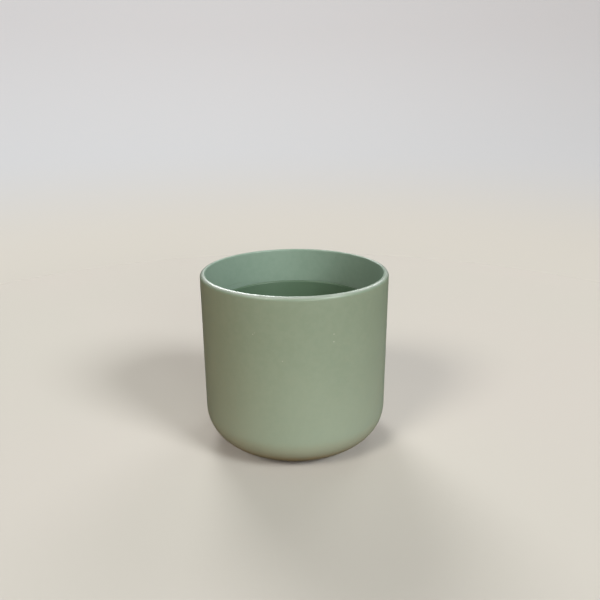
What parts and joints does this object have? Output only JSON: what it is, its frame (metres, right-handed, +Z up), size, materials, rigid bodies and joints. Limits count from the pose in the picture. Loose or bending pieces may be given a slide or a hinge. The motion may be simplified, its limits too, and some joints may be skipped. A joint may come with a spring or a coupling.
{
  "type": "brush holder pot",
  "caption": "Round thin-walled glazed pot with a large rounding at its foot and a lift-out inner cup, for standing brushes or pens in.",
  "frame": {"origin": "on the surface that the pot stands on, at the pot's axis", "axes": "+Z up along the pot's axis; the pot is round, so +X and +Y are free apart from the pads, which lie on the diagonals"},
  "size_m": [0.12, 0.12, 0.1138],
  "materials": {
    "pot_glaze": "satin sage green glaze, unglazed clay on the foot ring's standing face",
    "cup_plastic": "satin moulded, darker green",
    "pad_silicone": "matte translucent grey"
  },
  "bodies": {
    "pot": {"pot_shell": "pot_glaze", "foot_pad_1": "pad_silicone", "foot_pad_2": "pad_silicone", "foot_pad_3": "pad_silicone", "foot_pad_4": "pad_silicone"},
    "cup": {"liner_cup": "cup_plastic"}
  },
  "joints": [
    {"name": "cup_lift", "type": "slide", "parent": "pot", "child": "cup", "axis": [0, 0, 1], "range_m": [0, 0.125]}
  ]
}
